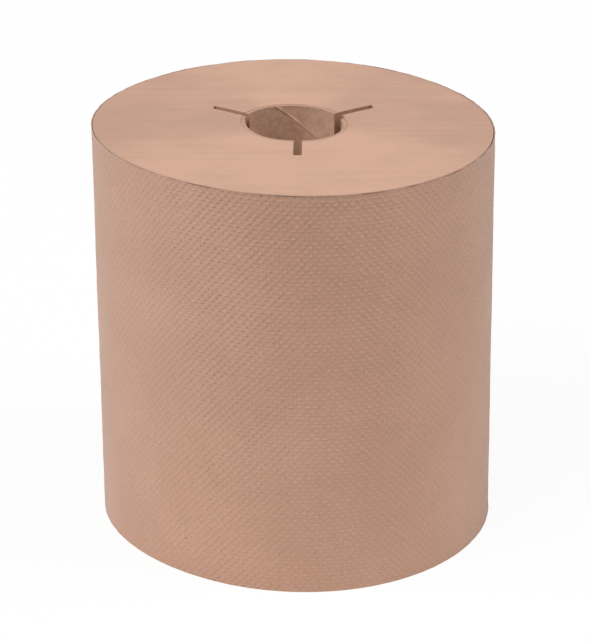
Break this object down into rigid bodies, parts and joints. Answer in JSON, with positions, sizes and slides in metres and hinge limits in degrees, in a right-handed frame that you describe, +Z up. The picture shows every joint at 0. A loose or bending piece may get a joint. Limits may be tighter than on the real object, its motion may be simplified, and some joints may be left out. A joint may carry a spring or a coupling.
{
  "type": "paper towel roll",
  "caption": "Brown paper towel roll wound on a spiral board core, standing on its end and pressed slightly oval, with radial drive slots sawn into its top end.",
  "frame": {"origin": "on the roll's axis, at the base that it stands on", "axes": "+Z up along the core's axis to the slotted end, -Y along the middle slot towards the front"},
  "size_m": [0.1935, 0.2016, 0.203],
  "materials": {
    "core_board": "matte",
    "towel_paper": "matte"
  },
  "bodies": {
    "root": {"core": "core_board", "wound_towel": "towel_paper"}
  },
  "joints": []
}
